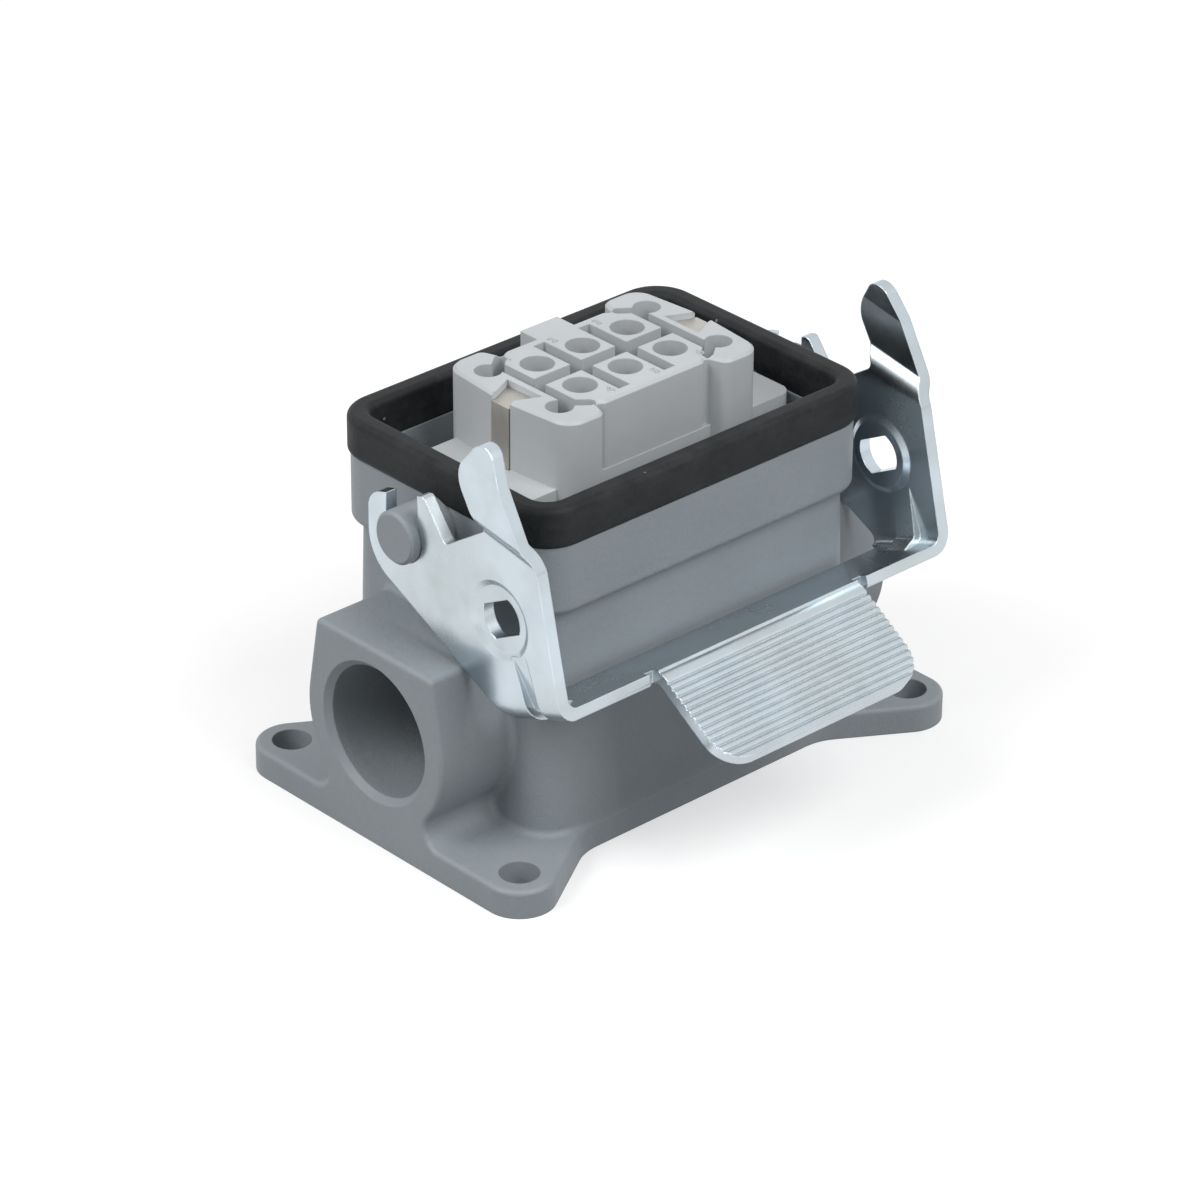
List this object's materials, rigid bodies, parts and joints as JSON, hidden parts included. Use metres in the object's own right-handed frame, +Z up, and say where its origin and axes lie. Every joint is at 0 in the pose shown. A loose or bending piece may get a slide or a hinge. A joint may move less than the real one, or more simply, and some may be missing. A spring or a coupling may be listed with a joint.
{
  "type": "heavy duty rectangular connector",
  "caption": "Surface mounting metal connector housing with side cable entry, gasketed rim, folded locking lever and a socket insert with earth plates, which a mating hood latches onto.",
  "frame": {"origin": "centre of the four foot holes, on the underside of the foot", "axes": "+Z up out of the rim, X along the housing with the cable entry at -X, -Y towards the lever's handle"},
  "size_m": [0.082, 0.0722, 0.0643],
  "materials": {
    "grey_coating": "fine powder coat on die-cast aluminium",
    "black_rubber": "matt moulded rubber",
    "zinc_plating": "bright zinc plated sheet steel",
    "grey_plastic": "satin moulded polycarbonate",
    "nickel_plate": "dull nickel plated strip",
    "contact_brass": "turned brass",
    "screw_steel": "plated screws and clamps"
  },
  "bodies": {
    "base": {"housing": "grey_coating", "rim_gasket": "black_rubber", "insert_body": "grey_plastic", "earth_plate_left": "nickel_plate", "earth_plate_right": "nickel_plate", "earth_screws": "screw_steel", "earth_wire_clamps": "screw_steel", "terminal_screws": "screw_steel", "insert_screws": "screw_steel", "lock_washers": "screw_steel", "socket_contact_1": "contact_brass", "socket_contact_2": "contact_brass", "socket_contact_3": "contact_brass", "socket_contact_4": "contact_brass", "socket_contact_5": "contact_brass", "socket_contact_6": "contact_brass", "wire_guard_1": "screw_steel", "wire_guard_2": "screw_steel", "wire_guard_3": "screw_steel", "wire_guard_4": "screw_steel", "wire_guard_5": "screw_steel", "wire_guard_6": "screw_steel"},
    "lever": {"locking_lever": "zinc_plating"}
  },
  "joints": [
    {"name": "lever_hinge", "type": "hinge", "parent": "base", "child": "lever", "pos_m": [0, 0, 0.0448], "axis": [-1, 0, 0], "range_deg": [0, 66]}
  ]
}
